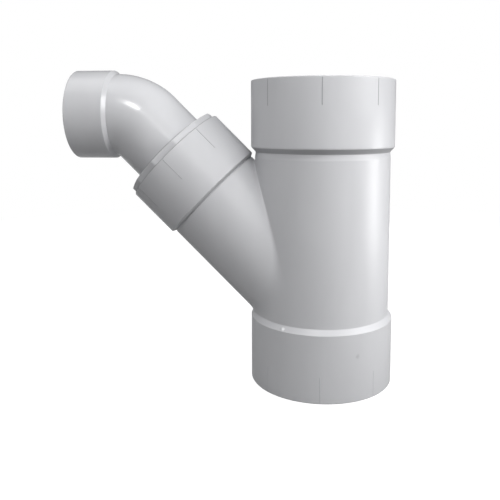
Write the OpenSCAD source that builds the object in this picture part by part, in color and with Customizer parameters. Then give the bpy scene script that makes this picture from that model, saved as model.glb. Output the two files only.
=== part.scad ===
// Combination wye: a 10 inch drainage wye whose 8 inch branch carries a reducer
// bushing and a 6 inch street eighth bend, all three cemented together.
// Millimetres. The origin is the centre of the lower mouth, +Z runs up the main
// pipe and the branch leans towards -X.

/* [Pipes] */
// Outside diameter of the main pipe
run_pipe_od = 273; // [250:0.5:300]
// Outside diameter of the pipe that would fit the branch hub
branch_pipe_od = 219; // [200:0.5:240]
// Outside diameter of the pipe that the bend takes
bend_pipe_od = 168.3; // [150:0.1:180]
// Gap between a socket's wall and the pipe or spigot in it
cement_gap = 0.3; // [0.2:0.05:0.6]

/* [Run] */
// Wall of the run's hubs round their sockets
run_hub_wall = 10.7; // [8:0.1:18]
// Depth of the run's sockets
run_socket_depth = 127; // [100:1:150]
// Height of the stop at the bottom of each run socket
run_stop = 9.25; // [4:0.05:14]
// Wall of the run between its hubs
run_body_wall = 12; // [8:0.1:13]
// Length of a run hub beyond its socket
run_hub_tail = 7.5; // [2:0.5:20]
// Length of the sloping shoulder behind a run hub
run_shoulder = 10; // [6:0.5:20]

/* [Branch] */
// Height of the crossing of the axes above the foot of the lower hub's shoulder
branch_rise = 15.5; // [10:0.5:60]
// Space between the run and the corner of the branch hub's shoulder
branch_space = 11.1; // [2:0.1:60]
// Space between the branch hub's upper corner and the foot of the upper hub
upper_space = 2.8; // [1:0.1:60]
// Wall of the branch hub round its socket
branch_hub_wall = 8.7; // [6:0.1:16]
// Depth of the branch's socket
branch_socket_depth = 101.6; // [90:0.1:120]
// Height of the stop at the bottom of the branch's socket
branch_stop = 8.15; // [4:0.05:12]
// Wall of the branch between the run and its hub
branch_body_wall = 9.9; // [6:0.1:11]
// Length of the branch hub beyond its socket
branch_hub_tail = 7.4; // [2:0.1:16]
// Length of the sloping shoulder behind the branch hub
branch_shoulder = 8; // [4:0.5:14]

/* [Bushing] */
// Thickness of the bushing's flange
flange_thickness = 13; // [8:0.5:20]
// Distance by which the flange's flats stand out past the bushing's spigot
flange_lip = 1; // [0.5:0.5:5]
// Number of flats on the flange
flange_flats = 12; // [8:1:12]
// Angle by which the bushing was turned in the hub when it was cemented
flange_turn = 20; // [0:1:44]
// Slope cut on the corners of the flange
flange_chamfer = 2.5; // [1:0.5:4]
// Space left between the bushing's inner end and the stop in the branch hub
bushing_end_gap = 2; // [1:0.5:5]
// Thickness of the stop at the bottom of the bushing's socket
bushing_stop = 10.4; // [4:0.1:14]
// Wall left round the widest part of the bushing's flared inner mouth
bushing_lip = 12.5; // [6:0.5:16]

/* [Bend] */
// Length of the bend's straight spigot left showing above the flange
bend_stand = 73.9; // [60:0.1:120]
// Radius of the bend's outside on the inner side of its turn
bend_throat = 1.25; // [1:0.05:20]
// Wall of the bend's spigot and neck
bend_wall = 7.15; // [5:0.05:12]
// Distance by which the bend's curved part is thicker than its spigot on the outside
elbow_swell = 0.6; // [0.3:0.1:2]
// Distance by which the bend's curved part is thicker than its spigot on the inside
elbow_inner_swell = 0.5; // [0.3:0.1:2]
// Wall of the bend's hub round its socket
bend_hub_wall = 7.55; // [5:0.05:14]
// Depth of the bend's socket, and of the bushing's
bend_socket_depth = 76.2; // [66:0.1:80]
// Length of the bend's hub beyond its socket
bend_hub_tail = 2.8; // [1:0.1:12]
// Length of the sloping shoulder behind the bend's hub
bend_shoulder = 7; // [4:0.5:14]
// Length of the plain neck between that shoulder and the bend's curved part
bend_neck = 0; // [0:0.5:40]

/* [Edges] */
// Slope cut on the outer edge of each hub's mouth
mouth_chamfer = 1.8; // [0.5:0.1:4]
// Slope cut on the inner edge of each socket's mouth
entry_chamfer = 1.5; // [0.5:0.1:2]

/* [Hidden] */
$fn = 96;
// The branch leans back by 45 degrees, and the bend turns by the same angle
lean = 45;
// Length by which a cutter runs past what it cuts
over = 1;

run_bore_d = run_pipe_od - 2 * run_stop;
run_body_od = run_bore_d + 2 * run_body_wall;
run_hub_od = socket_d(run_pipe_od) + 2 * run_hub_wall;
run_hub_length = run_socket_depth + run_hub_tail;

branch_bore_d = branch_pipe_od - 2 * branch_stop;
branch_body_od = branch_bore_d + 2 * branch_body_wall;
branch_hub_od = socket_d(branch_pipe_od) + 2 * branch_hub_wall;
branch_hub_length = branch_socket_depth + branch_hub_tail;
branch_height = run_hub_length + run_shoulder + branch_rise;
// Distance along the branch's axis to the corner where its hub's shoulder starts
branch_corner = run_body_od / 2 / sin(lean) + branch_hub_od / 2 + branch_space;
branch_length = branch_corner + branch_hub_length;
run_length = branch_height + branch_corner * cos(lean) + branch_hub_od / 2 * sin(lean)
    + upper_space + run_shoulder + run_hub_length;

bushing_spigot_length = branch_socket_depth - bushing_end_gap;
bushing_flare_d = branch_pipe_od - 2 * bushing_lip;
bushing_flare_length = bushing_spigot_length + flange_thickness - bend_socket_depth
    - bushing_stop;
flange_flats_d = branch_pipe_od + 2 * flange_lip;

bend_bore_d = bend_pipe_od - 2 * bend_wall;
elbow_od = bend_pipe_od + 2 * elbow_swell;
elbow_bore_d = bend_bore_d - 2 * elbow_inner_swell;
bend_radius = elbow_od / 2 + bend_throat;
bend_tangent = bend_radius * tan(lean / 2);
bend_hub_od = socket_d(bend_pipe_od) + 2 * bend_hub_wall;
bend_hub_length = bend_socket_depth + bend_hub_tail;
// Distance along the branch's axis to the corner where it meets the bend's level axis
bend_corner = branch_length + flange_thickness + bend_stand + bend_tangent;
bend_hub_reach = bend_tangent + bend_neck + bend_shoulder + bend_hub_length;
corner_x = -bend_corner * sin(lean);
corner_z = branch_height + bend_corner * cos(lean);

pvc_grey = [0.74, 0.75, 0.76];
bushing_grey = [0.80, 0.81, 0.82];
bend_grey = [0.78, 0.79, 0.80];

function socket_d(pipe_od) = pipe_od + 2 * cement_gap;

// Puts a shape drawn along +Z from the origin on the branch's axis.
module on_branch(distance = 0) {
    translate([0, 0, branch_height])
        rotate([0, -lean, 0])
            translate([0, 0, distance]) children();
}

// A hub drawn mouth down: its mouth is at 0, and the shoulder slopes in to the body.
module hub(hub_od, body_od, length, shoulder) {
    rotate_extrude()
        polygon([
            [0, 0],
            [hub_od / 2 - mouth_chamfer, 0],
            [hub_od / 2, mouth_chamfer],
            [hub_od / 2, length],
            [body_od / 2, length + shoulder],
            [0, length + shoulder]
        ]);
}

// The space in a socket drawn mouth down, with its sloped entry.
module socket(pipe_od, depth) {
    r = socket_d(pipe_od) / 2;
    rotate_extrude()
        polygon([
            [0, -over],
            [r + entry_chamfer + over, -over],
            [r, entry_chamfer],
            [r, depth],
            [0, depth]
        ]);
}

module wye_outside() {
    cylinder(h = run_length, d = run_body_od);
    hub(run_hub_od, run_body_od, run_hub_length, run_shoulder);
    translate([0, 0, run_length])
        mirror([0, 0, 1])
            hub(run_hub_od, run_body_od, run_hub_length, run_shoulder);
    on_branch()
        cylinder(h = branch_corner, d = branch_body_od);
    on_branch(branch_length)
        mirror([0, 0, 1])
            hub(branch_hub_od, branch_body_od, branch_hub_length, branch_shoulder);
}

module wye_waterway() {
    translate([0, 0, run_socket_depth / 2])
        cylinder(h = run_length - run_socket_depth, d = run_bore_d);
    socket(run_pipe_od, run_socket_depth);
    translate([0, 0, run_length])
        mirror([0, 0, 1]) socket(run_pipe_od, run_socket_depth);
    on_branch()
        cylinder(h = branch_length - branch_socket_depth / 2, d = branch_bore_d);
    on_branch(branch_length)
        mirror([0, 0, 1]) socket(branch_pipe_od, branch_socket_depth);
}

// The wye: one moulding with a hub at each end of the run and one on the branch.
module wye_body() {
    color(pvc_grey)
        difference() {
            wye_outside();
            wye_waterway();
        }
}

// The flange has flats whose corners are turned off at both faces.
module flange() {
    corner_r = flange_flats_d / 2 / cos(180 / flange_flats);
    intersection() {
        rotate([0, 0, flange_turn])
            cylinder(h = flange_thickness, r = corner_r, $fn = flange_flats);
        rotate_extrude()
            polygon([
                [0, 0],
                [corner_r - flange_chamfer, 0],
                [corner_r, flange_chamfer / 2],
                [corner_r, flange_thickness - flange_chamfer],
                [corner_r - flange_chamfer, flange_thickness],
                [0, flange_thickness]
            ]);
    }
}

// The bushing: its flange rests on the branch hub's rim and its spigot fills the hub.
module reducer_bushing() {
    spigot_r = branch_pipe_od / 2;
    color(bushing_grey)
        on_branch(branch_length)
            difference() {
                union() {
                    flange();
                    rotate_extrude()
                        polygon([
                            [0, -bushing_spigot_length],
                            [spigot_r - entry_chamfer, -bushing_spigot_length],
                            [spigot_r, entry_chamfer - bushing_spigot_length],
                            [spigot_r, flange_thickness / 2],
                            [0, flange_thickness / 2]
                        ]);
                }
                translate([0, 0, flange_thickness])
                    mirror([0, 0, 1]) socket(bend_pipe_od, bend_socket_depth);
                translate([0, 0, -bushing_spigot_length - over])
                    cylinder(h = bushing_spigot_length, d = bend_bore_d);
                translate([0, 0, -bushing_spigot_length - 0.01])
                    cylinder(h = bushing_flare_length, d1 = bushing_flare_d, d2 = bend_bore_d);
            }
}

// The straight lower end of the bend, which enters the bushing's socket.
module bend_spigot() {
    spigot_start = branch_length + flange_thickness - bend_socket_depth;
    on_branch(spigot_start)
        linear_extrude(bend_corner - bend_tangent - spigot_start + over)
            difference() {
                circle(d = bend_pipe_od);
                circle(d = bend_bore_d);
            }
}

// The curved part of the bend, which turns the branch's axis level. Its wall is a little
// thicker than the spigot's on both faces.
module bend_elbow() {
    translate([corner_x - bend_tangent, 0, corner_z - bend_radius])
        rotate([90, 0, 0])
            rotate([0, 0, 90 - lean])
                rotate_extrude(angle = lean)
                    translate([bend_radius, 0])
                        difference() {
                            circle(d = elbow_od);
                            circle(d = elbow_bore_d);
                        }
}

// The bend's hub with its socket and stop, drawn from its mouth back to the elbow.
module bend_hub() {
    outer_r = bend_hub_od / 2;
    socket_r = socket_d(bend_pipe_od) / 2;
    tube_r = bend_pipe_od / 2;
    bore_r = bend_bore_d / 2;
    translate([corner_x - bend_hub_reach, 0, corner_z])
        rotate([0, 90, 0])
            rotate_extrude()
                polygon([
                    [socket_r + entry_chamfer, 0],
                    [outer_r - mouth_chamfer, 0],
                    [outer_r, mouth_chamfer],
                    [outer_r, bend_hub_length],
                    [tube_r, bend_hub_length + bend_shoulder],
                    [tube_r, bend_hub_reach - bend_tangent + over],
                    [bore_r, bend_hub_reach - bend_tangent + over],
                    [bore_r, bend_socket_depth],
                    [socket_r, bend_socket_depth],
                    [socket_r, entry_chamfer]
                ]);
}

// The street bend: a spigot at its lower end and a hub that faces -X at its upper end.
module street_bend() {
    color(bend_grey) {
        bend_spigot();
        bend_elbow();
        bend_hub();
    }
}

wye_body();
reducer_bushing();
street_bend();
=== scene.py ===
"""Dresses the combination wye: a drainage wye, a reducer bushing and a street bend.

Every surface is worked out with numpy as a function of two parameters, in millimetres in
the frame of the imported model, and put into its mesh in metres. The origin is the centre of
the lower mouth, +Z runs up the run, and the branch leans towards -X.
"""

import logging
import math
from collections.abc import Callable
from dataclasses import dataclass, field, replace
from enum import Enum
from typing import ClassVar

import bmesh
import bpy
import numpy as np
from mathutils import Matrix


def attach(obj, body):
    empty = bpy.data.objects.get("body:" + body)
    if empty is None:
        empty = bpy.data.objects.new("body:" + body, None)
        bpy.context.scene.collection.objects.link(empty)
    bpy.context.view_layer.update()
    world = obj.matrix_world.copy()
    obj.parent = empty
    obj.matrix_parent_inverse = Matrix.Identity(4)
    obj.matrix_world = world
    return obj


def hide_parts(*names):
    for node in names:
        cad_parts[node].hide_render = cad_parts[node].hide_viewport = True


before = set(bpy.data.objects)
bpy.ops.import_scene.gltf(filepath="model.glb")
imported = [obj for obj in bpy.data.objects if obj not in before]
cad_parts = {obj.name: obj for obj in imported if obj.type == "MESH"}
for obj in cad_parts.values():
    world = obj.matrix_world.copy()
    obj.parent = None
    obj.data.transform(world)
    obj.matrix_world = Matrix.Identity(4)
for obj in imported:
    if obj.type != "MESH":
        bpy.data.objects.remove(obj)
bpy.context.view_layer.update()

LOG = logging.getLogger("combination_wye")
MM = 0.001
CIRCLE = 2 * math.pi
# The branch leans by 45 degrees and the bend turns by as much; SLANT is that angle's sine and cosine
LEAN = math.radians(45)
SLANT = math.sqrt(0.5)
# Halvings of a gap of a few millimetres, and the length in millimetres below which nothing is left
HALVINGS = 30
TINY = 1e-6

Triple = tuple[float, float, float]


class Slot(Enum):
    """The names of the mouldings' material slots."""

    WYE = "wye_plastic"
    BUSHING = "bushing_plastic"
    BEND = "bend_plastic"


# Profiles and grids


def rounded(
    corners: list[Triple], steps: int = 5, guard: float = 0.8, room_share: float = 0.45
) -> np.ndarray:
    """Rounds the corners of an open line of straight pieces.

    Each corner is cut back by radius * tan(turn / 2) along both of its sides, and an arc of
    that radius joins the two cuts. A guard point on each side of an arc keeps the shading
    of the long straight faces flat.

    Args:
        corners: points as (a, b, radius); a radius of 0 keeps the corner sharp.
        steps: number of spans in each arc.
        guard: distance from an arc's end to its guard point.
        room_share: share of the shorter side that a cut may take.

    Returns:
        The points of the line as an array of pairs.
    """
    points = np.array([corner[:2] for corner in corners], float)
    share = np.linspace(0, 1, steps + 1)[:, None]
    out = [points[0]]
    for last, at, following, (_, _, radius) in zip(points, points[1:], points[2:], corners[1:]):
        back, ahead = np.linalg.norm(last - at), np.linalg.norm(following - at)
        u, w = (last - at) / back, (following - at) / ahead
        turn = math.pi - math.acos(float(np.clip(u @ w, -1, 1)))
        if radius <= 0 or turn < 1e-3:
            out.append(at)
            continue
        room = min(back, ahead) * room_share
        cut = min(radius * math.tan(turn / 2), room)
        centre = at + (u + w) / np.linalg.norm(u + w) * cut / math.sin(turn / 2)
        start, end = at + u * cut - centre, at + w * cut - centre
        arc = centre + (np.sin((1 - share) * turn) * start + np.sin(share * turn) * end) / math.sin(turn)
        lead = cut + min(guard, room / 2)
        out += [at + u * lead, *arc, at + w * lead]
    out.append(points[-1])
    return np.array(out)


def fill_in(line: np.ndarray, longest: float) -> np.ndarray:
    """Splits the long spans of a line so that none is longer than a given length.

    Args:
        line: points as pairs.
        longest: the longest span that is left.

    Returns:
        The line with the added points, evenly spaced in each span.
    """
    span = np.linalg.norm(np.diff(line, axis=0), axis=1)
    parts = [
        line[i] + np.arange(n)[:, None] / n * (line[i + 1] - line[i])
        for i, n in enumerate(np.maximum(1, np.ceil(span / longest)).astype(int))
    ]
    return np.vstack([*parts, line[-1:]])


def ease(x: np.ndarray) -> np.ndarray:
    """Goes from 0 to 1 with level ends: 3 x^2 - 2 x^3 of x held between 0 and 1."""
    x = np.clip(x, 0, 1)
    return x * x * (3 - 2 * x)


def zero_of(value: Callable[[np.ndarray], np.ndarray], low: np.ndarray, high: np.ndarray) -> np.ndarray:
    """Finds where a rising value passes 0 by halving the gap between two bounds.

    Args:
        value: gives the value at an array of places.
        low: the lower bounds, which are the answer where the value starts above 0.
        high: the upper bounds.

    Returns:
        The places, each exactly 0 where it comes out tiny.
    """
    for _ in range(HALVINGS):
        middle = (low + high) / 2
        below = value(middle) < 0
        low, high = np.where(below, middle, low), np.where(below, high, middle)
    return np.where(high > TINY, high, 0)


@dataclass
class Skin:
    """Collects grids of points and joins them into one mesh."""

    name: str
    points: list[np.ndarray] = field(default_factory=list)
    faces: list[np.ndarray] = field(default_factory=list)
    count: int = 0

    def add(self, grid: np.ndarray, round_rows: bool = True) -> None:
        """Adds a grid of points and the four-sided faces between its rows and columns.

        Args:
            grid: an array of rows by columns by x, y, z in millimetres.
            round_rows: True where each row closes on itself.
        """
        rows, columns = grid.shape[:2]
        number = np.arange(rows * columns).reshape(rows, columns) + self.count
        if round_rows:
            number = np.hstack([number, number[:, :1]])
        quads = np.stack([number[:-1, :-1], number[:-1, 1:], number[1:, 1:], number[1:, :-1]], -1)
        self.points.append(grid.reshape(-1, 3))
        self.faces.append(quads.reshape(-1, 4))
        self.count += rows * columns

    def build(self, weld: float = 0.002) -> bpy.types.Object:
        """Makes the object: welds the grids' shared edges and turns the faces outwards.

        Args:
            weld: points nearer than this, in millimetres, become one.

        Returns:
            The new object, at the origin, shaded smooth.
        """
        mesh = bpy.data.meshes.new(self.name)
        points, quads = np.vstack(self.points) * MM, np.vstack(self.faces)
        mesh.vertices.add(len(points))
        mesh.vertices.foreach_set("co", points.ravel().astype(np.float32))
        mesh.loops.add(quads.size)
        mesh.loops.foreach_set("vertex_index", quads.ravel().astype(np.int32))
        mesh.polygons.add(len(quads))
        mesh.polygons.foreach_set("loop_start", np.arange(0, quads.size, 4, dtype=np.int32))
        mesh.update(calc_edges=True)
        work = bmesh.new()
        work.from_mesh(mesh)
        bmesh.ops.remove_doubles(work, verts=work.verts, dist=weld * MM)
        bmesh.ops.dissolve_degenerate(work, edges=work.edges, dist=weld * MM)
        bmesh.ops.recalc_face_normals(work, faces=work.faces)
        open_edges = sum(not edge.is_manifold for edge in work.edges)
        work.to_mesh(mesh)
        work.free()
        mesh.polygons.foreach_set("use_smooth", np.ones(len(mesh.polygons), bool))
        mesh.update()
        made = bpy.data.objects.new(self.name, mesh)
        bpy.context.scene.collection.objects.link(made)
        LOG.info("%s: %d faces, %d open edges", self.name, len(mesh.polygons), open_edges)
        return made


@dataclass(frozen=True)
class Line:
    """A straight line in space: a point on it and its direction."""

    foot: Triple
    direction: Triple


@dataclass(frozen=True)
class SlantedAxis:
    """The branch's axis, which leaves the run's axis at the crossing and leans towards -X."""

    crossing: float

    def line(self) -> Line:
        """Gives the axis as a line."""
        return Line((0.0, 0.0, self.crossing), (-SLANT, 0.0, SLANT))

    def points(self, along: np.ndarray, around: np.ndarray, radius: np.ndarray) -> np.ndarray:
        """Turns distances along, angles around and radii into points.

        The point is the axis's own, plus radius times (cos around) across the axis, upwards
        and towards the run, plus radius times (sin around) along Y.

        Args:
            along: distances along the axis from the crossing.
            around: angles round the axis.
            radius: distances from the axis.

        Returns:
            The points, with x, y and z last.
        """
        up, side = radius * np.cos(around), radius * np.sin(around)
        return np.stack([(up - along) * SLANT, side, self.crossing + (along + up) * SLANT], -1)

    def split(self, x: np.ndarray, z: np.ndarray) -> tuple[np.ndarray, np.ndarray]:
        """Gives the distances across the axis, upwards, and along it from the crossing."""
        return (x + z - self.crossing) * SLANT, (z - self.crossing - x) * SLANT


# Finishes


def metres(point: Triple) -> Triple:
    """Turns a point in millimetres into metres."""
    return tuple(value * MM for value in point)


class NodeTree:
    """Short calls for placing and linking nodes."""

    # The mix node's colour sockets by number, because its other sockets have the same names
    MIX_COLOURS: ClassVar[tuple[int, int]] = (6, 7)
    MIX_RESULT: ClassVar[int] = 2

    def __init__(self, tree: bpy.types.NodeTree) -> None:
        """Keeps the tree and clears it."""
        self.tree = tree
        tree.nodes.clear()

    def add(
        self, kind: str, inputs: dict[str | int, object] | None = None, **settings: object
    ) -> bpy.types.Node:
        """Adds a node.

        Args:
            kind: the node's type name.
            inputs: values or sockets by input name or number.
            **settings: attributes of the node.

        Returns:
            The new node.
        """
        node = self.tree.nodes.new(kind)
        for key, value in settings.items():
            setattr(node, key, value)
        for key, value in (inputs or {}).items():
            if isinstance(value, bpy.types.NodeSocket):
                self.tree.links.new(value, node.inputs[key])
            else:
                node.inputs[key].default_value = value
        return node

    def where(self) -> bpy.types.NodeSocket:
        """Gives the place in the object, in metres."""
        return self.add("ShaderNodeTexCoord").outputs["Object"]

    def maths(self, operation: str, *values: object) -> bpy.types.NodeSocket:
        """Works on numbers and gives the result."""
        return self.add("ShaderNodeMath", dict(enumerate(values)), operation=operation).outputs[0]

    def vectors(self, operation: str, *values: object) -> bpy.types.NodeSocket:
        """Works on vectors and gives the result, a number where the operation measures something."""
        node = self.add("ShaderNodeVectorMath", dict(enumerate(values)), operation=operation)
        return node.outputs["Value" if operation in ("DOT_PRODUCT", "DISTANCE", "LENGTH") else "Vector"]

    def noise(
        self, where: object, scale: object, detail: float, twist: float = 0.0
    ) -> bpy.types.NodeSocket:
        """Gives a grey noise, from about 0.3 to 0.7."""
        inputs = {"Vector": where, "Scale": scale, "Detail": detail, "Distortion": twist}
        return self.add("ShaderNodeTexNoise", inputs).outputs["Fac"]

    def ramp(
        self,
        value: object,
        start: float,
        end: float,
        low: float = 0.0,
        high: float = 1.0,
        **settings: object,
    ) -> bpy.types.NodeSocket:
        """Maps a value on to low to high as it goes from start to end, and holds it there."""
        inputs = {"Value": value, "From Min": start, "From Max": end, "To Min": low, "To Max": high}
        return self.add("ShaderNodeMapRange", inputs, **settings).outputs[0]

    def mixed(self, share: object, first: object, second: object) -> bpy.types.NodeSocket:
        """Mixes two colours: the first where the share is 0 and the second where it is 1."""
        inputs = {"Factor": share, **dict(zip(self.MIX_COLOURS, (first, second)))}
        return self.add("ShaderNodeMix", inputs, data_type="RGBA").outputs[self.MIX_RESULT]


def moulded_surface(
    flow_scale: float = 14.0, flow_twist: float = 0.6, skin_depth: float = 0.06
) -> bpy.types.NodeTree:
    """Builds the node group for moulded plastic.

    Its height is a fine skin of noise over slow waves, its shade drifts a little as the
    plastic flowed, and its roughness follows the shade.

    Args:
        flow_scale: scale of the drift of shade.
        flow_twist: how much that drift is twisted.
        skin_depth: height of the fine skin, where the slow waves have the input Waves.

    Returns:
        The group, with inputs for the sizes and amounts and outputs Shade, Height and Dull.
    """
    tree = bpy.data.node_groups.new("moulded_surface", "ShaderNodeTree")
    for name, value in (("Skin Scale", 900.0), ("Wave Scale", 22.0), ("Waves", 0.5), ("Stretch", 0.25)):
        socket = tree.interface.new_socket(name, in_out="INPUT", socket_type="NodeSocketFloat")
        socket.default_value = value
    for name in ("Shade", "Height", "Dull"):
        tree.interface.new_socket(name, in_out="OUTPUT", socket_type="NodeSocketFloat")
    nodes = NodeTree(tree)
    given = nodes.add("NodeGroupInput").outputs
    where = nodes.where()
    stretch = nodes.add("ShaderNodeCombineXYZ", {"X": 1.0, "Y": 1.0, "Z": given["Stretch"]}).outputs[0]
    skin = nodes.noise(where, given["Skin Scale"], 2.0)
    wave = nodes.noise(where, given["Wave Scale"], 1.0)
    flow = nodes.noise(nodes.vectors("MULTIPLY", where, stretch), flow_scale, 3.0, flow_twist)
    waves, fine = nodes.maths("MULTIPLY", wave, given["Waves"]), nodes.maths("MULTIPLY", skin, skin_depth)
    dull = nodes.ramp(flow, 0.3, 0.7, -0.03, 0.04)
    nodes.add("NodeGroupOutput", {"Shade": flow, "Height": nodes.maths("ADD", waves, fine), "Dull": dull})
    return tree


@dataclass(frozen=True)
class Spot:
    """A small spot of another colour on a surface, in millimetres, which serves for real soil and for
    painted highlights and shadows.
    """

    at: Triple
    radius: float
    amount: float
    colour: Triple = (0.16, 0.16, 0.17)
    # Where the mask starts and where it is full, in radii
    outer: float = 1.5
    inner: float = 0.7
    ragged_scale: float = 260.0

    def paint_soil_or_light(self, nodes: NodeTree, colour: bpy.types.NodeSocket) -> bpy.types.NodeSocket:
        """Changes the colour round the spot.

        The mask fades from inner to outer times the radius, as measured by the distance plus
        noise times the radius, which leaves the edge ragged.

        Args:
            nodes: the material's nodes.
            colour: the colour so far.

        Returns:
            The new colour.
        """
        where, radius = nodes.where(), self.radius * MM
        gap = nodes.vectors("DISTANCE", where, metres(self.at))
        edge = nodes.maths("MULTIPLY_ADD", nodes.noise(where, self.ragged_scale, 2.0), radius, gap)
        mask = nodes.ramp(edge, radius * self.outer, radius * self.inner, 0.0, self.amount)
        return nodes.mixed(mask, colour, (*self.colour, 1))


@dataclass(frozen=True)
class Band:
    """A ring round a line where the colour is darker: painted shade, in joints, in corners and along the
    mould lines.
    """

    line: Line
    # The ring's two ends along the line, and how far from the line it goes
    low: float
    high: float
    reach: float
    amount: float
    soft: float = 1.0
    colour: Triple = (0.14, 0.14, 0.15)

    def paint_soil_or_light(self, nodes: NodeTree, colour: bpy.types.NodeSocket) -> bpy.types.NodeSocket:
        """Darkens the colour in the ring.

        With h the distance along the line from its foot, the mask is 1 where |h - middle| is
        less than half the ring's width, fades over its soft edge, and stops where the distance
        from the line passes its reach.

        Args:
            nodes: the material's nodes.
            colour: the colour so far.

        Returns:
            The new colour.
        """
        where = nodes.vectors("SUBTRACT", nodes.where(), metres(self.line.foot))
        along = nodes.vectors("DOT_PRODUCT", where, self.line.direction)
        away = nodes.vectors("LENGTH", nodes.vectors("CROSS_PRODUCT", where, self.line.direction))
        middle, half = (self.low + self.high) / 2 * MM, (self.high - self.low) / 2 * MM
        gap = nodes.maths("ABSOLUTE", nodes.maths("SUBTRACT", along, middle))
        faded = half + self.soft * MM
        mask = nodes.ramp(gap, faded, half, 0.0, self.amount, interpolation_type="SMOOTHSTEP")
        near = nodes.maths("LESS_THAN", away, self.reach * MM)
        return nodes.mixed(nodes.maths("MULTIPLY", mask, near), colour, (*self.colour, 1))


@dataclass(frozen=True)
class Plastic:
    """Rigid moulded vinyl: its paler and deeper shade, its gloss and its relief."""

    name: str
    pale: Triple
    deep: Triple
    roughness: float
    waves: float
    bump: float
    # Stretch of the drift of shade along Z, depth of the relief in millimetres, and refraction
    stretch: float = 0.3
    relief: float = 0.6
    index: float = 1.5
    marks: tuple[Spot | Band, ...] = ()

    def material(self, surface: bpy.types.NodeTree) -> bpy.types.Material:
        """Builds the material from the shared group.

        Args:
            surface: the moulded plastic's node group.

        Returns:
            The material.
        """
        made = bpy.data.materials.new(self.name)
        made.use_nodes = True
        nodes = NodeTree(made.node_tree)
        amounts = {"Waves": self.waves, "Stretch": self.stretch}
        face = nodes.add("ShaderNodeGroup", amounts, node_tree=surface).outputs
        colour = nodes.mixed(nodes.ramp(face["Shade"], 0.35, 0.65), (*self.deep, 1), (*self.pale, 1))
        # The marks: real soil, and painted highlights and painted shade
        for mark in self.marks:
            colour = mark.paint_soil_or_light(nodes, colour)
        rough = nodes.maths("ADD", face["Dull"], self.roughness)
        relief = {"Height": face["Height"], "Strength": self.bump, "Distance": self.relief * MM}
        normal = nodes.add("ShaderNodeBump", relief).outputs[0]
        look = {"Base Color": colour, "Roughness": rough, "Normal": normal, "IOR": self.index}
        shade = nodes.add("ShaderNodeBsdfPrincipled", look)
        nodes.add("ShaderNodeOutputMaterial", {"Surface": shade.outputs[0]})
        return made


WYE_PLASTIC = Plastic(
    "wye_plastic",
    pale=(0.547, 0.549, 0.563),
    deep=(0.527, 0.529, 0.543),
    roughness=0.36,
    waves=0.5,
    bump=0.35,
)
# The mould lines' plastic is darker than the wye's: painted shade that stands for the shading along the
# raised lines
MOULD_LINE_PAINTED_SHADE = replace(
    WYE_PLASTIC, name="wye_mould_line_painted_shade", pale=(0.50, 0.505, 0.52), deep=(0.48, 0.485, 0.50)
)
BUSHING_PLASTIC = Plastic(
    "bushing_plastic",
    pale=(0.562, 0.564, 0.578),
    deep=(0.542, 0.544, 0.558),
    roughness=0.34,
    waves=0.4,
    bump=0.3,
)
BEND_PLASTIC = replace(BUSHING_PLASTIC, name="bend_plastic", roughness=0.22, bump=0.15)
RUN_LINE = Line((0.0, 0.0, 0.0), (0.0, 0.0, 1.0))


# What the mouldings share


@dataclass(frozen=True)
class Hub:
    """A hub made for one size of pipe. All of its sizes across are radii."""

    pipe: float
    depth: float
    stop: float
    hub_wall: float
    body_wall: float
    tail: float
    shoulder: float
    cement_gap: float = 0.3

    @property
    def socket(self) -> float:
        """Gives the radius of the socket."""
        return self.pipe + self.cement_gap

    @property
    def outside(self) -> float:
        """Gives the radius of the hub's outside."""
        return self.socket + self.hub_wall

    @property
    def bore(self) -> float:
        """Gives the radius of the bore behind the stop."""
        return self.pipe - self.stop

    @property
    def body(self) -> float:
        """Gives the radius of the plain body behind the hub."""
        return self.bore + self.body_wall

    @property
    def length(self) -> float:
        """Gives the hub's length, without its shoulder."""
        return self.depth + self.tail


BEND_HUB = Hub(84.15, depth=76.2, stop=7.15, hub_wall=7.55, body_wall=7.15, tail=2.8, shoulder=7.0)


class Moulding:
    """A moulding that stands for one CAD node. Each kind gives its skin and its plastic."""

    slot: ClassVar[Slot]
    node: ClassVar[str]

    def body(self) -> bpy.types.Object:
        """Builds the moulding's closed skin."""
        raise NotImplementedError

    def plastic(self) -> Plastic:
        """Gives the moulding's plastic with its marks."""
        raise NotImplementedError

    def dress(self, piece: bpy.types.Object, paint: bpy.types.Material, node: str | None = None) -> None:
        """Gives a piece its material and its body.

        Args:
            piece: the object.
            paint: its material.
            node: the CAD node that it stands for, or None.
        """
        piece.data.materials.append(paint)
        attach(piece, "root")
        if node:
            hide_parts(node)
        LOG.info("dressed %s", piece.name)

    def build(self, surface: bpy.types.NodeTree) -> None:
        """Builds and dresses the moulding from the plastic's node group."""
        self.dress(self.body(), self.plastic().material(surface), self.node)


# The wye


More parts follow.
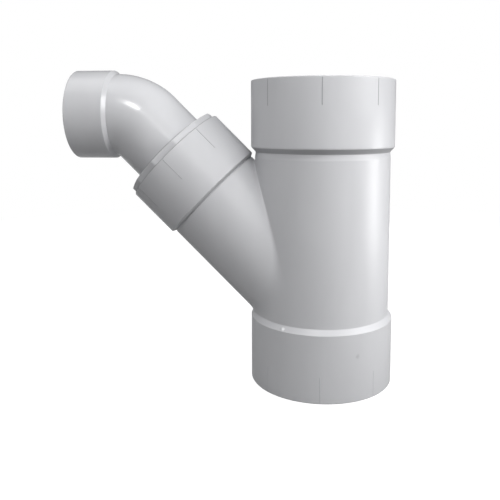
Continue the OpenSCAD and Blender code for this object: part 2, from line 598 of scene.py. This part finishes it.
@dataclass
class Wall:
    """One face of the wye's wall, inside or outside: the run's radius, the branch's and their blend."""

    axis: SlantedAxis
    heights: np.ndarray
    radii: np.ndarray
    branch_radius: float
    # Width of the blend above the second of these heights over the crossing and below the first
    tight: float
    wide: float
    narrows_from: float = 20.0
    narrows_to: float = 150.0
    # Where the branch starts along its axis, and how fast the distance to it grows behind that
    root: float = 20.0
    root_slope: float = 10.0
    settle: int = 60

    def run_radius(self, z: np.ndarray) -> np.ndarray:
        """Gives the run's radius at a height, read along its profile."""
        return np.interp(z, self.heights, self.radii)

    def blend(self, z: np.ndarray) -> np.ndarray:
        """Gives the width of the blend between run and branch: wide low down, and tight at the crotch."""
        share = (self.axis.crossing + self.narrows_to - z) / (self.narrows_to - self.narrows_from)
        return self.tight + (self.wide - self.tight) * ease(share)

    def off_branch(self, x: np.ndarray, y: np.ndarray, z: np.ndarray) -> np.ndarray:
        """Gives the distance outwards from the branch's cylinder: sqrt(q^2 + y^2) less its radius.

        Here q is the distance across the axis in the XZ plane. Behind the branch's root there
        is no branch, so the distance grows with the way back.

        Args:
            x: places along X.
            y: places along Y.
            z: heights.

        Returns:
            The distances.
        """
        across, along = self.axis.split(x, z)
        behind = np.clip(self.root - along, 0, None)
        return np.hypot(across, y) - self.branch_radius + behind * self.root_slope

    def union(self, run: np.ndarray, branch: np.ndarray, z: np.ndarray) -> np.ndarray:
        """Joins two distances: the smaller one, less k h^2 / 4, where h = 1 - |difference| / k.

        Args:
            run: distances outwards from the run.
            branch: distances outwards from the branch.
            z: heights, which give the blend's width k.

        Returns:
            The joined distances.
        """
        k = self.blend(z)
        near = np.clip(1 - np.abs(run - branch) / k, 0, None)
        return np.minimum(run, branch) - near * near * k / 4

    def half_angle(self, z: np.ndarray) -> np.ndarray:
        """Gives half the angle that the branch takes out of the run's circle at a height.

        With r and p the two radii, each grown by a quarter of the blend, and w the height
        above the crossing, the seam's points have cos(angle) = (sqrt(2 (w^2 + r^2 - p^2)) - w) / r.

        Args:
            z: the heights.

        Returns:
            The angles.
        """
        lift = self.blend(z) / 4
        r, p, w = self.run_radius(z) + lift, self.branch_radius + lift, z - self.axis.crossing
        return np.arccos(np.clip((np.sqrt(np.maximum(2 * (w * w + r * r - p * p), 0)) - w) / r, -1, 1))

    def span(self) -> tuple[float, float]:
        """Finds the lowest and highest point of the seam: where w = r - p sqrt 2 and w = r + p sqrt 2.

        Both radii depend on the height, so each step goes half of the way to where the last
        height's radii put the point, until it settles.

        Returns:
            The two heights.
        """
        ends = []
        for sign in (-1, 1):
            z = self.axis.crossing + self.radii.min() + sign * self.branch_radius * math.sqrt(2)
            for _ in range(self.settle):
                lift = self.blend(z) / 4
                reach = sign * (self.branch_radius + lift) * math.sqrt(2)
                z = (z + self.axis.crossing + self.run_radius(z) + lift + reach) / 2
            ends.append(z)
        return ends[0], ends[1]

    def seam_heights(self, count: int) -> np.ndarray:
        """Gives heights along the seam, spaced as 1 - cos so that they crowd at both ends."""
        low, high = self.span()
        return (low + high) / 2 - (high - low) / 2 * np.cos(np.linspace(0, math.pi, count))

    def on_run(self, radius: np.ndarray, z: np.ndarray, angle: np.ndarray) -> np.ndarray:
        """Puts points at an angle from -X round the run, raised along the radius on to the blend.

        Args:
            radius: the run's own radius, one for each row.
            z: the height, one for each row.
            angle: the angles, rows by columns.

        Returns:
            A grid of points.
        """
        radius, z = (np.broadcast_to(rows[:, None], angle.shape) for rows in (radius, z))

        def value(lift: np.ndarray) -> np.ndarray:
            """Gives the joined distance at a lift above the run."""
            r = radius + lift
            return self.union(lift, self.off_branch(-r * np.cos(angle), r * np.sin(angle), z), z)

        r = radius + zero_of(value, np.zeros(angle.shape), self.blend(z) / 4)
        return np.stack([-r * np.cos(angle), r * np.sin(angle), z], -1)

    def on_branch(self, along: np.ndarray, around: np.ndarray) -> np.ndarray:
        """Puts points on the branch, raised away from its axis on to the blend.

        Args:
            along: distance along the branch's axis, rows by columns.
            around: angle round that axis, one for each column.

        Returns:
            A grid of points.
        """

        def value(lift: np.ndarray) -> np.ndarray:
            """Gives the joined distance at a lift above the branch."""
            x, y, z = np.moveaxis(self.axis.points(along, around, self.branch_radius + lift), -1, 0)
            return self.union(np.hypot(x, y) - self.run_radius(z), lift, z)

        lift = zero_of(value, np.zeros(along.shape), np.full(along.shape, self.wide / 4))
        return self.axis.points(along, around, self.branch_radius + lift)


@dataclass
class Wye(Moulding):
    """The wye's own moulding: the run with its two hubs and the branch with its hub."""

    slot: ClassVar[Slot] = Slot.WYE
    node: ClassVar[str] = "wye_body"

    run: Hub = Hub(136.5, depth=127.0, stop=9.25, hub_wall=10.7, body_wall=12.0, tail=7.5, shoulder=10.0)
    branch: Hub = Hub(109.5, depth=101.6, stop=8.15, hub_wall=8.7, body_wall=9.9, tail=7.4, shoulder=8.0)
    # From the lower shoulder up to the crossing, from the run to the branch hub's corner, and from
    # the branch hub's upper corner to the upper shoulder
    branch_rise: float = 15.5
    branch_space: float = 11.1
    upper_space: float = 2.8
    # Width of the blend at the crotch and low down
    outer_blend: tuple[float, float] = (4.0, 13.0)
    inner_blend: tuple[float, float] = (3.0, 6.0)
    # Where the outside and the inside meet on a rim, out from its socket, and the rim's rounding
    rim: float = 3.0
    rim_edge: float = 2.0
    # How far and over what length the run draws in below the upper shoulder
    waist: float = 1.5
    waist_length: float = 12.0
    # How far the branch hub's profile goes on below its shoulder and behind its stop
    branch_start: float = 3.0
    branch_end: float = 4.0
    # The mould's lines: height, number, distance from a mouth, half of the width, and far ends
    rib: float = 0.4
    rib_count: int = 8
    rib_inset: float = 1.2
    run_rib_half: float = 1.1
    branch_rib_half: float = 0.9
    upper_rib_end: float = 54.0
    lower_rib_end: float = 55.0
    branch_rib_end: float = 57.0
    # A smudge of dirt on the lower hub; at a nick on its shoulder, a pale spot that is a painted highlight,
    # and a painted shadow beside it
    smudge: Spot = Spot((71.5, -129.0, 91.0), 5.5, 0.26)
    nick_painted_highlight: Spot = Spot((-72.0, -124.5, 139.0), 4.4, 0.85, (0.95, 0.95, 0.96))
    nick_painted_shadow: Spot = Spot((-77.0, -122.0, 137.0), 3.0, 0.3)
    # Rows and columns of the grids, and their longest spans
    seam_rows: int = 97
    blend_rows: int = 26
    columns: int = 193
    rib_rows: int = 28
    run_span: float = 7.0
    branch_span: float = 8.0

    @property
    def axis(self) -> SlantedAxis:
        """Gives the branch's axis, which crosses the run's above the lower shoulder."""
        return SlantedAxis(self.run.length + self.run.shoulder + self.branch_rise)

    @property
    def branch_corner(self) -> float:
        """Gives the distance along the branch to the foot of its hub: the hub's corner clears the run."""
        return self.run.body / SLANT + self.branch.outside + self.branch_space

    @property
    def mouth(self) -> float:
        """Gives the distance along the branch to its mouth."""
        return self.branch_corner + self.branch.length

    @property
    def head(self) -> float:
        """Gives the height of the foot of the upper shoulder: it clears the branch hub's upper corner."""
        corner = self.axis.crossing + (self.branch_corner + self.branch.outside) * SLANT
        return corner + self.upper_space

    @property
    def top(self) -> float:
        """Gives the height of the upper mouth."""
        return self.head + self.run.shoulder + self.run.length

    def outline(self) -> np.ndarray:
        """Gives the run's outer profile.

        The hubs' faces lie lower than their full radius by the height of the mould's lines.

        Returns:
            Points as (radius, height), from the lower lip to the upper lip.
        """
        face, body, top = self.run.outside - self.rib, self.run.body, self.top
        lip = self.run.socket + self.rim
        corners = [
            (lip, 0, 0), (face, 0, self.rim_edge), (face, self.run.length, 1.3),
            (body, self.run.length + self.run.shoulder, 2.0), (body, self.head - self.waist_length, 0.5),
            (body - self.waist, self.head - 0.5, 1.0), (face, top - self.run.length, 6.0),
            (face, top, self.rim_edge), (lip, top, 0),
        ]
        return rounded(corners)

    def bore_line(self) -> np.ndarray:
        """Gives the run's inner profile: a socket and a stop at each end, and the bore between.

        Returns:
            Points as (radius, height), from the lower lip to the upper lip.
        """
        lip, socket, bore = self.run.socket + self.rim, self.run.socket, self.run.bore
        deep, top = self.run.depth, self.top
        corners = [
            (lip, 0, 0), (socket, 0, 1.5), (socket, deep, 0.4), (bore, deep, 1.0),
            (bore, top - deep, 1.0), (socket, top - deep, 0.4), (socket, top, 1.5), (lip, top, 0),
        ]
        return rounded(corners)

    def angles(self, half: np.ndarray, crowding: float = 0.85) -> np.ndarray:
        """Spreads columns round the run from one side of the branch to the other.

        They crowd at both ends: the share is t - crowding * sin(2 pi t) / (2 pi).

        Args:
            half: half the angle that the branch takes out, one for each row.
            crowding: how much they crowd, from 0 to below 1.

        Returns:
            The angles, rows by columns.
        """
        t = np.linspace(0, 1, self.columns)
        share = t - crowding * np.sin(CIRCLE * t) / CIRCLE
        return half[:, None] + (CIRCLE - 2 * half[:, None]) * share

    def run_rows(self, skin: Skin, wall: Wall, line: np.ndarray) -> np.ndarray:
        """Adds one face of the run's wall: below the seam, above it and beside it.

        Args:
            skin: where the grids go.
            wall: the face's radii and blend.
            line: its profile as (radius, height).

        Returns:
            The seam's points, once round the branch from its lowest point.
        """
        heights = wall.seam_heights(self.seam_rows)
        low, high = heights[0], heights[-1]
        below = np.vstack([line[line[:, 1] < low], [[wall.run_radius(low), low]]])
        above = np.vstack([[[wall.run_radius(high), high]], line[line[:, 1] > high]])
        for part in (below, above):
            radius, z = fill_in(part, self.run_span).T
            skin.add(wall.on_run(radius, z, self.angles(np.zeros(len(z)))), round_rows=False)
        half = wall.half_angle(heights)
        half[0] = half[-1] = 0
        beside = wall.on_run(wall.run_radius(heights), heights, self.angles(half))
        skin.add(beside, round_rows=False)
        return np.vstack([beside[:, 0], beside[-2:0:-1, -1]])

    def branch_line(self, start: float, end: float) -> np.ndarray:
        """Gives the branch hub's profile, over its rim and down to the bore behind its stop.

        A small groove runs round the foot of the shoulder.

        Args:
            start: distance along the branch to the first point, on the outside.
            end: distance along the branch to the last point, in the bore.

        Returns:
            Points as (distance along, radius).
        """
        foot, face = self.branch_corner - self.branch.shoulder, self.branch.outside - self.rib
        body, bore, socket, mouth = self.branch.body, self.branch.bore, self.branch.socket, self.mouth
        stop = mouth - self.branch.depth
        corners = [
            (start, body, 0), (foot + 1.0, body, 0.8), (foot + 2.4, body - 1.2, 0.8),
            (foot + 4.0, body - 0.6, 0.6), (self.branch_corner, face, 1.2), (mouth, face, 1.8),
            (mouth, socket, 1.4), (stop, socket, 0.4), (stop, bore, 0.8), (end, bore, 0),
        ]
        return fill_in(rounded(corners), self.branch_span)

    def body(self) -> bpy.types.Object:
        """Builds the whole wall of the wye as one closed skin.

        The run's two faces, outside and inside, leave a seam round the branch each. The hub's
        profile is carried round the branch's axis, with its columns turned on the way from the
        outer seam's to the inner seam's, and a blended grid joins each of its ends to a seam.

        Returns:
            The object that stands for the CAD node.
        """
        skin = Skin("wye_moulding")
        faces = []
        for line, radius, (tight, wide) in (
            (self.outline(), self.branch.body, self.outer_blend),
            (self.bore_line(), self.branch.bore, self.inner_blend),
        ):
            # The rims are left out of the wall's radii, because they lie at one height
            inside = np.abs(line[:, 1] - self.top / 2) < self.top / 2 - 2 * self.rim_edge
            middle = line[inside]
            order = np.argsort(middle[:, 1], kind="stable")
            wall = Wall(self.axis, middle[order, 1], middle[order, 0], radius, tight, wide)
            seam = self.run_rows(skin, wall, line)
            across, along = self.axis.split(seam[:, 0], seam[:, 2])
            faces.append((wall, seam, np.arctan2(seam[:, 1], across), along))
        start = self.branch_corner - self.branch.shoulder - self.branch_start
        end = self.mouth - self.branch.depth - self.branch_end
        line = self.branch_line(start, end)
        turn = np.clip((np.linspace(0, 1, len(line)) - 0.3) / 0.6, 0, 1)[:, None]
        outer, inner = (np.unwrap(angles) for _, _, angles, _ in faces)
        skin.add(self.axis.points(line[:, :1], outer * (1 - turn) + inner * turn, line[:, 1:]))
        share = (np.linspace(0, 1, self.blend_rows) ** 1.8)[:, None]
        for (wall, seam, angles, along), last in zip(faces, (start, end)):
            grid = wall.on_branch(along * (1 - share) + last * share, angles)
            grid[0] = seam
            skin.add(grid)
        return skin.build()

    def rib_loops(self, underside: float = 0.3, sunk: float = 0.04) -> tuple[np.ndarray, np.ndarray]:
        """Gives a mould line's loops of points: how far across each lies and how high over the hub.

        The top is rib (1 - u^2) - sunk for u from -1 to 1, and the underside lies lower. The
        first and last rows shrink to one point, which closes the ends.

        Args:
            underside: depth of the underside below the hub's face.
            sunk: depth of the top's two edges below the hub's face.

        Returns:
            The places across, from -1 to 1, and the heights, rows by points.
        """
        top = np.linspace(-1, 1, 9)
        high = np.concatenate([self.rib * (1 - top**2), [sunk - underside] * 2])
        rows = np.arange(self.rib_rows)
        ends = np.minimum(1, np.minimum(rows, rows[::-1]) / 2)[:, None]
        return np.concatenate([top, [0.6, -0.6]]) * np.minimum(1, ends * 2), high * ends - sunk

    def mould_lines(self) -> bpy.types.Object:
        """Builds the fine raised lines that the mould's split core leaves on the hubs.

        Each is a closed bar that lies half sunk in the hub: its height is rib * (1 - u^2) across
        its width, and its ends run down into the hub.

        Returns:
            One object that holds all the lines.
        """
        skin = Skin("wye_mould_lines")
        run, branch = self.run.outside - self.rib, self.branch.outside - self.rib
        across, rise = self.rib_loops()
        inset, top, mouth = self.rib_inset, self.top, self.mouth
        upper, lower, along = (
            np.linspace(start, end, self.rib_rows)[:, None]
            for start, end in (
                (top - inset, top - self.upper_rib_end),
                (inset, self.lower_rib_end),
                (mouth - inset, mouth - self.branch_rib_end),
            )
        )
        for step in range(self.rib_count):
            angle = CIRCLE * step / self.rib_count
            around, r = angle + across * self.run_rib_half / run, run + rise
            x, y = r * np.sin(around), -r * np.cos(around)
            for height in (upper, lower):
                skin.add(np.stack([x, y, np.broadcast_to(height, r.shape)], -1))
            around = angle + across * self.branch_rib_half / branch
            skin.add(self.axis.points(along, around, branch + rise))
        return skin.build()

    def plastic(self) -> Plastic:
        """Gives the wye's plastic, with painted shade in its corners and at the branch hub's rim, and on
        the lower hub a smudge and a nick's painted highlight and shadow.

        Returns:
            The plastic with its marks.
        """
        foot, branch = self.branch_corner - self.branch.shoulder, self.axis.line()
        # Painted shade: under the upper shoulder, round the branch hub's rim where the bushing's flange
        # meets it, and in the groove at the foot of its shoulder
        bands = (
            Band(RUN_LINE, self.head + 1.0, self.head + 9.0, reach=148.6, amount=0.42),
            Band(branch, self.mouth - 0.9, self.mouth + 1.5, reach=124.0, amount=0.6, soft=0.8),
            Band(branch, foot + 1.5, foot + 3.9, reach=124.0, amount=0.3),
        )
        return replace(WYE_PLASTIC, marks=(self.smudge, self.nick_painted_highlight, self.nick_painted_shadow, *bands))

    def line_plastic(self) -> Plastic:
        """Gives the mould lines' plastic, with more painted shade towards the upper mouth and the branch's
        mouth.

        Returns:
            The plastic with its marks.
        """
        branch, top, mouth = self.axis.line(), self.top, self.mouth
        # Painted shade: the lines darken further near the upper mouth and the branch's mouth
        upper = Band(RUN_LINE, top - 56.0, top + 18.0, reach=160.0, amount=0.4, soft=6.0)
        outer = Band(branch, mouth - 55.5, mouth + 4.5, reach=130.0, amount=0.3, soft=6.0)
        return replace(MOULD_LINE_PAINTED_SHADE, marks=(upper, outer))

    def build(self, surface: bpy.types.NodeTree) -> None:
        """Builds and dresses the wye and its mould lines from the plastic's node group."""
        super().build(surface)
        self.dress(self.mould_lines(), self.line_plastic().material(surface))


# The bushing


@dataclass
class Bushing(Moulding):
    """The reducer bushing: a flange with rounded flats, a spigot and a socket for the bend."""

    slot: ClassVar[Slot] = Slot.BUSHING
    node: ClassVar[str] = "reducer_bushing"

    wye: Wye
    bend: Hub = BEND_HUB
    # The flange: its thickness, how far its flats stand out past the spigot, their number, how far
    # it was turned when it was cemented, and how sharp its corners are
    thickness: float = 13.0
    flange_lip: float = 1.0
    flats: int = 12
    turn: float = 20.0
    corner_sharpness: float = 160.0
    # From the inner end to the stop in the branch hub, and the thickness of the bushing's own stop
    end_gap: float = 2.0
    stop: float = 10.4
    # How far inside the spigot's radius the flared mouth and the profile's seam lie
    flare_wall: float = 12.5
    seam_wall: float = 6.0
    columns: int = 432
    span: float = 8.0

    @property
    def top(self) -> float:
        """Gives the distance along the branch to the flange's outer face."""
        return self.wye.mouth + self.thickness

    def flange_lift(self, around: np.ndarray) -> np.ndarray:
        """Gives how far the flange stands out round its axis, as a share of its flats' radius.

        It is 1 / cos(angle to the flat's middle), with each corner eased by the power mean of
        the two flats that meet there.

        Args:
            around: angles round the axis.

        Returns:
            The shares, 1 in the middle of a flat.
        """
        step = CIRCLE / self.flats
        local = (around - math.radians(270 + self.turn)) % step - step / 2
        power = self.corner_sharpness
        lift = (np.cos(local) ** power + np.cos(np.abs(local) - step) ** power) ** (-1 / power)
        return lift / lift.min()

    def body(self) -> bpy.types.Object:
        """Builds the bushing as one profile carried round the branch's axis.

        Beyond the spigot, the radius follows the flange's flats.

        Returns:
            The object that stands for the CAD node.
        """
        spigot, mouth, top = self.wye.branch.pipe, self.wye.mouth, self.top
        end, bottom = mouth - self.wye.branch.depth + self.end_gap, top - self.bend.depth
        flats, seam, flare = spigot + self.flange_lip, spigot - self.seam_wall, spigot - self.flare_wall
        socket, bore = self.bend.socket, self.bend.bore
        corners = [
            (end, seam, 0), (end, spigot, 1.5), (mouth, spigot, 0.3), (mouth, flats, 0.6),
            (top, flats, 1.5), (top, socket, 1.4), (bottom, socket, 0.4), (bottom, bore, 0.8),
            (bottom - self.stop, bore, 3.0), (end, flare, 1.0), (end, seam, 0),
        ]
        line = fill_in(rounded(corners), self.span)
        around = np.linspace(0, CIRCLE, self.columns, endpoint=False)
        grow = np.clip((line[:, 1:] - spigot) / self.flange_lip, 0, 1)
        radius = line[:, 1:] * (1 + (self.flange_lift(around) - 1) * grow)
        skin = Skin("bushing_moulding")
        skin.add(self.wye.axis.points(line[:, :1], around, radius))
        return skin.build()

    def plastic(self) -> Plastic:
        """Gives the bushing's plastic."""
        return BUSHING_PLASTIC


# The bend


@dataclass
class Bend(Moulding):
    """The street bend: a spigot, an eighth of a turn and a hub."""

    slot: ClassVar[Slot] = Slot.BEND
    node: ClassVar[str] = "street_bend"

    bushing: Bushing
    hub: Hub = BEND_HUB
    # Length of the spigot above the flange, and the radius of the turn's inner side
    stand: float = 73.9
    throat: float = 1.25
    # How much thicker the turn is outside and inside, and where and how softly that starts
    swell: float = 0.6
    narrow: float = 0.5
    swell_start: float = 8.0
    swell_end: float = 14.0
    swell_inside: float = 4.0
    swell_easing: float = 40.0
    seam_wall: float = 3.0
    columns: int = 160
    span: float = 3.0

    @property
    def radius(self) -> float:
        """Gives the radius of the turn: the bend's own radius, and the throat's."""
        return self.hub.pipe + self.swell + self.throat

    @property
    def first(self) -> float:
        """Gives the distance from the spigot's end to the start of the turn."""
        return self.hub.depth + self.stand

    def path(self, length: np.ndarray) -> tuple[np.ndarray, np.ndarray]:
        """Gives the bend's centre line and the direction across it in the XZ plane.

        It runs straight up the branch's axis, turns on a circle through 45 degrees, and runs
        straight along -X. On the turn the direction's angle is length over radius.

        Args:
            length: distance from the spigot's end, one for each row.

        Returns:
            The centres and the unit vectors across, each as x and z.
        """
        slope = np.array([-SLANT, SLANT])
        start = np.array([0, self.bushing.wye.axis.crossing]) + (self.bushing.top - self.hub.depth) * slope
        heading = LEAN - np.clip((length - self.first) / self.radius, 0, LEAN)
        across = np.stack([np.sin(heading), np.cos(heading)], -1)
        centre = start + self.first * slope - self.radius * SLANT
        level = np.maximum(length - self.first - self.radius * LEAN, 0)[:, None] * [-1, 0]
        turned = centre + self.radius * across + level
        return np.where((length < self.first)[:, None], start + length[:, None] * slope, turned), across

    def body(self) -> bpy.types.Object:
        """Builds the bend as one profile carried along its centre line.

        The point is the centre line's own, plus radius times (cos around) across it in the XZ
        plane, plus radius times (sin around) along Y.

        Returns:
            The object that stands for the CAD node.
        """
        first, second = self.first, self.first + self.radius * LEAN
        hub_foot = second + self.hub.shoulder
        mouth = hub_foot + self.hub.length
        stop = mouth - self.hub.depth
        spigot, outside, socket, bore = self.hub.pipe, self.hub.outside, self.hub.socket, self.hub.bore
        thick, thin, seam = spigot + self.swell, bore - self.narrow, bore + self.seam_wall
        rise, easing = self.swell_inside, self.swell_easing
        corners = [
            (0, seam, 0), (0, spigot, 1.2), (first - self.swell_start, spigot, easing),
            (first + self.swell_end, thick, easing), (second - rise, thick, 2),
            (second + 0.3, spigot + 0.3, 1.5), (hub_foot, outside, 1.2), (mouth, outside, 1.8),
            (mouth, socket, 1.4), (stop, socket, 0.4), (stop, bore, 0.8), (second, bore, 2),
            (second - rise, thin, 2), (first + rise, thin, 2), (first, bore, 2), (0, bore, 1.0),
            (0, seam, 0),
        ]
        line = fill_in(rounded(corners), self.span)
        centre, across = self.path(line[:, 0])
        around = np.linspace(0, CIRCLE, self.columns, endpoint=False)
        up, side = line[:, 1:] * np.cos(around), line[:, 1:] * np.sin(around)
        x, z = (centre[:, i : i + 1] + up * across[:, i : i + 1] for i in (0, 1))
        skin = Skin("bend_moulding")
        skin.add(np.stack([x, side, z], -1))
        return skin.build()

    def plastic(self) -> Plastic:
        """Gives the bend's plastic, with painted shade round the joint with the bushing.

        Returns:
            The plastic with its mark.
        """
        line, joint = self.bushing.wye.axis.line(), self.bushing.top
        # Painted shade: a dark ring on the bend where it meets the bushing's flange
        ring = Band(line, joint - 4.5, joint + 3.7, reach=100.0, amount=0.5, soft=3.4)
        return replace(BEND_PLASTIC, marks=(ring,))


# The studio


@dataclass(frozen=True)
class Lamp:
    """A soft light with a flat face, placed by its direction and distance in metres from the part."""

    name: str
    azimuth: float
    elevation: float
    distance: float
    size: tuple[float, float]
    power: float
    spread: float = 180.0
    gloss: bool = True

    def place(self, centre: np.ndarray) -> None:
        """Adds the lamp. Azimuth 0 stands before the part, and 90 to its right.

        Args:
            centre: the point that it faces.
        """
        data = bpy.data.lights.new(self.name, "AREA")
        data.shape = "RECTANGLE"
        data.size, data.size_y = self.size
        data.energy = self.power
        data.spread = math.radians(self.spread)
        lamp = bpy.data.objects.new(self.name, data)
        turn, rise = math.radians(self.azimuth), math.radians(self.elevation)
        away = np.array([math.sin(turn) * math.cos(rise), -math.cos(turn) * math.cos(rise), math.sin(rise)])
        lamp.location = centre + away * self.distance
        lamp.rotation_euler = (math.pi / 2 - rise, 0, turn)
        lamp.visible_glossy = self.gloss
        bpy.context.scene.collection.objects.link(lamp)


@dataclass
class Studio:
    """The camera, the lamps, the pale floor and the white surroundings."""

    # The camera: sizes in pixels of the picture, angles in degrees and its place in millimetres
    picture_px: float = 500.0
    focal_px: float = 603.2
    shift_px: tuple[float, float] = (12.7, -63.8)
    sensor: float = 36.0
    clip: tuple[float, float] = (0.05, 60.0)
    pitch: float = 6.0
    yaw: float = 5.8
    roll: float = -0.1
    place: Triple = (3.6, -1256.5, 536.4)
    # The point that the lamps face, and the light from all round
    centre: Triple = (-120.0, 0.0, 330.0)
    ambient: float = 0.12
    ambient_colour: Triple = (0.90, 0.93, 1.0)
    # The floor lies just below the part, so that the part's rim never lies in it
    floor_radius: float = 2600.0
    floor_level: float = -0.4
    floor_shades: tuple[float, float] = (0.34, 0.37)
    floor_glow: float = 0.96
    shadow_share: float = 0.5
    lamps: tuple[Lamp, ...] = (
        Lamp("key", 72, 28, 2.0, (0.9, 0.9), 20.0),
        Lamp("high_right", 42, 50, 2.0, (0.9, 0.9), 17.5, gloss=False),
        Lamp("front", 17, 30, 2.0, (0.45, 0.45), 4.2),
        Lamp("window", -8, 41.5, 2.15, (0.4, 0.26), 13.0),
        Lamp("strip", 88, 0, 0.9, (0.24, 0.36), 0.5, spread=80),
        Lamp("high_left", -80, 48, 2.0, (1.4, 1.4), 6.5),
        Lamp("back_left", -132, 5, 2.0, (1.0, 0.7), 12.0, gloss=False),
        Lamp("back", 178, 12, 2.0, (1.0, 0.8), 17.0, gloss=False),
        Lamp("overhead", -60, 80, 2.0, (1.5, 1.5), 3.5),
    )

    def camera(self) -> None:
        """Sets the camera that was fitted to the photograph."""
        data = bpy.data.cameras.new("camera")
        data.sensor_width = self.sensor
        data.lens = self.focal_px * self.sensor / self.picture_px
        data.shift_x, data.shift_y = -self.shift_px[0] / self.picture_px, self.shift_px[1] / self.picture_px
        data.clip_start, data.clip_end = self.clip
        made = bpy.data.objects.new("camera", data)
        yaw, pitch, roll = (math.radians(angle) for angle in (self.yaw, self.pitch, self.roll))
        level = Matrix.Rotation(yaw, 3, "Z") @ Matrix.Rotation(math.pi / 2 - pitch, 3, "X")
        made.location = metres(self.place)
        made.rotation_euler = (level @ Matrix.Rotation(roll, 3, "Z")).to_euler()
        bpy.context.scene.collection.objects.link(made)
        bpy.context.scene.camera = made

    def surroundings(self) -> None:
        """Sets a world that only the camera sees as white, and a plain light that is weaker from below."""
        world = bpy.data.worlds.new("studio")
        bpy.context.scene.world = world
        world.use_nodes = True
        nodes = NodeTree(world.node_tree)
        where = nodes.add("ShaderNodeTexCoord").outputs["Generated"]
        height = nodes.add("ShaderNodeSeparateXYZ", {0: where}).outputs["Z"]
        level = nodes.maths("MULTIPLY", nodes.ramp(height, -0.6, 0.8, 0.1, 1.0), self.ambient)
        soft = nodes.add("ShaderNodeBackground", {"Color": (*self.ambient_colour, 1), "Strength": level})
        white = nodes.add("ShaderNodeBackground", {"Color": (1, 1, 1, 1), "Strength": 1.0})
        seen = nodes.add("ShaderNodeLightPath").outputs["Is Camera Ray"]
        both = nodes.add("ShaderNodeMixShader", {0: seen, 1: soft.outputs[0], 2: white.outputs[0]})
        nodes.add("ShaderNodeOutputWorld", {"Surface": both.outputs[0]})

    def floor_paint(self) -> bpy.types.Material:
        """Builds the floor's material.

        Light that falls on the part comes off a plain grey. The camera sees a glow that reads
        as white with a share of that grey added, which keeps the shadow.

        Returns:
            The material.
        """
        paint = bpy.data.materials.new("pale_floor")
        paint.use_nodes = True
        nodes = NodeTree(paint.node_tree)
        grain = nodes.add("ShaderNodeTexNoise", {"Scale": 6.0, "Detail": 2.0}).outputs["Fac"]
        tone = nodes.mixed(grain, *((shade, shade, shade, 1) for shade in self.floor_shades))
        plain = nodes.add("ShaderNodeBsdfDiffuse", {"Color": tone})
        glow = nodes.add("ShaderNodeEmission", {"Color": (1, 1, 1, 1), "Strength": self.floor_glow})
        faint = nodes.add("ShaderNodeMixShader", {0: self.shadow_share, 1: plain.outputs[0]})
        bright = nodes.add("ShaderNodeAddShader", {0: faint.outputs[0], 1: glow.outputs[0]})
        seen = nodes.add("ShaderNodeLightPath").outputs["Is Camera Ray"]
        both = nodes.add("ShaderNodeMixShader", {0: seen, 1: plain.outputs[0], 2: bright.outputs[0]})
        nodes.add("ShaderNodeOutputMaterial", {"Surface": both.outputs[0]})
        return paint

    def floor(self, rings: int = 12, spokes: int = 96) -> None:
        """Lays the floor: a disc whose rings crowd towards its middle.

        Args:
            rings: number of circles of points.
            spokes: number of points in a circle.
        """
        across = np.linspace(0, CIRCLE, spokes, endpoint=False)
        reach = (np.linspace(0.01, 1, rings) ** 1.5 * self.floor_radius)[:, None]
        level = np.full((rings, spokes), self.floor_level)
        skin = Skin("floor")
        skin.add(np.stack([reach * np.cos(across), reach * np.sin(across), level], -1))
        made = skin.build()
        made.data.materials.append(self.floor_paint())

    def build(self) -> None:
        """Builds the whole studio and sets the view transform."""
        bpy.context.scene.view_settings.view_transform = "Standard"
        self.camera()
        self.surroundings()
        self.floor()
        for lamp in self.lamps:
            lamp.place(np.array(metres(self.centre)))


def main() -> None:
    """Builds the studio and the three mouldings."""
    logging.basicConfig(level=logging.INFO, format="%(name)s: %(message)s")
    LOG.info("dressing %d CAD nodes", len(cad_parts))
    Studio().build()
    surface = moulded_surface()
    wye = Wye()
    bushing = Bushing(wye)
    for moulding in (wye, bushing, Bend(bushing)):
        moulding.build(surface)


if __name__ == "__main__":
    main()
